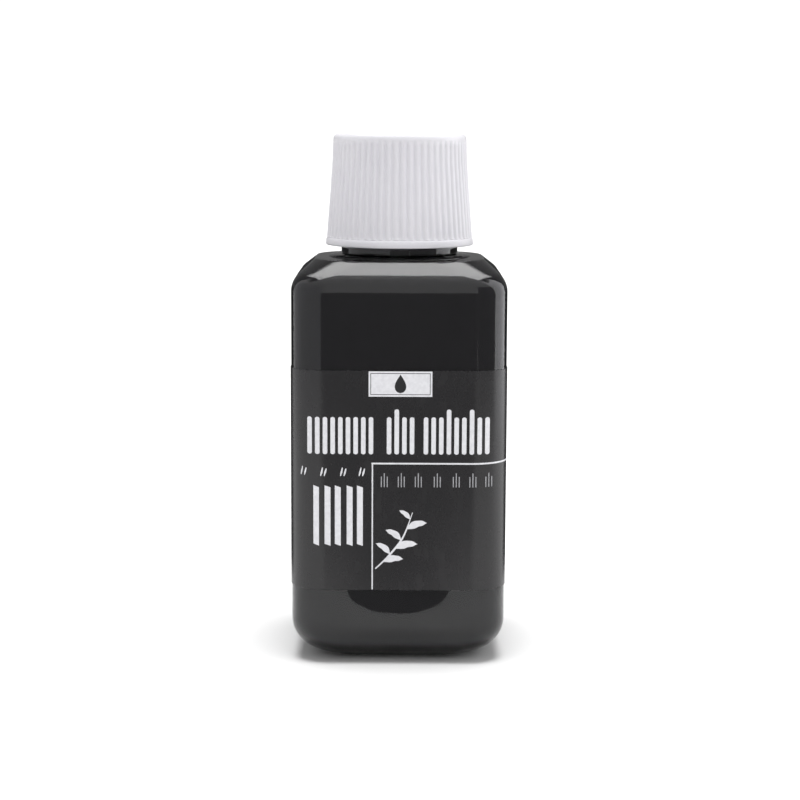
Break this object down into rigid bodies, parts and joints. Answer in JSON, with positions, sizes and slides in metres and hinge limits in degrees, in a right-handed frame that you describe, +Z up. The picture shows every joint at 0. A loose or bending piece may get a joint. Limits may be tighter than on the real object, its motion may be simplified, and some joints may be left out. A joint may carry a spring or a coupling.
{
  "type": "ink bottle",
  "caption": "Square, round-shouldered clear bottle filled with black ink, with a wraparound film label and a ribbed white push-and-turn screw closure.",
  "frame": {"origin": "centre of the bottle's base, on the surface it stands on, under the neck's axis", "axes": "+Z up along the neck and closure, -Y out of the front face of the label, +X to the right seen from the front"},
  "size_m": [0.0556, 0.0559, 0.1346],
  "materials": {
    "bottle_clear": "clear, glossy blow-moulded plastic, nearly colourless",
    "ink_black": "black drawing ink, liquid, opaque",
    "label_film": "charcoal self-adhesive film with a satin varnish, pale print",
    "insert_natural": "natural soft polyethylene, slightly translucent",
    "liner_foam": "fine closed-cell white foam",
    "inner_cap_plastic": "unpigmented polypropylene, satin",
    "shell_white": "cool white polypropylene, satin, moulded"
  },
  "bodies": {
    "bottle_body": {"bottle": "bottle_clear", "ink": "ink_black", "wrap_label": "label_film", "pour_insert": "insert_natural"},
    "liner_body": {"cap_liner": "liner_foam"},
    "inner_cap_body": {"inner_cap": "inner_cap_plastic"},
    "outer_shell_body": {"outer_shell": "shell_white"}
  },
  "joints": [
    {"name": "cap_lift", "type": "slide", "parent": "bottle_body", "child": "liner_body", "axis": [0, 0, 1], "range_m": [0, 0.02521]},
    {"name": "cap_turn", "type": "hinge", "parent": "liner_body", "child": "inner_cap_body", "pos_m": [0, 0, 0.1179], "axis": [0, 0, 1], "range_deg": [0, 2160]},
    {"name": "cap_push", "type": "slide", "parent": "inner_cap_body", "child": "outer_shell_body", "axis": [0, 0, 1], "range_m": [-0.0015, 0], "stiffness_N_per_m": 2500, "springref_m": 0.0004}
  ],
  "couplings": [
    {"joint": "cap_lift", "follows": "cap_turn", "m_per_rad": 0.00066845}
  ]
}
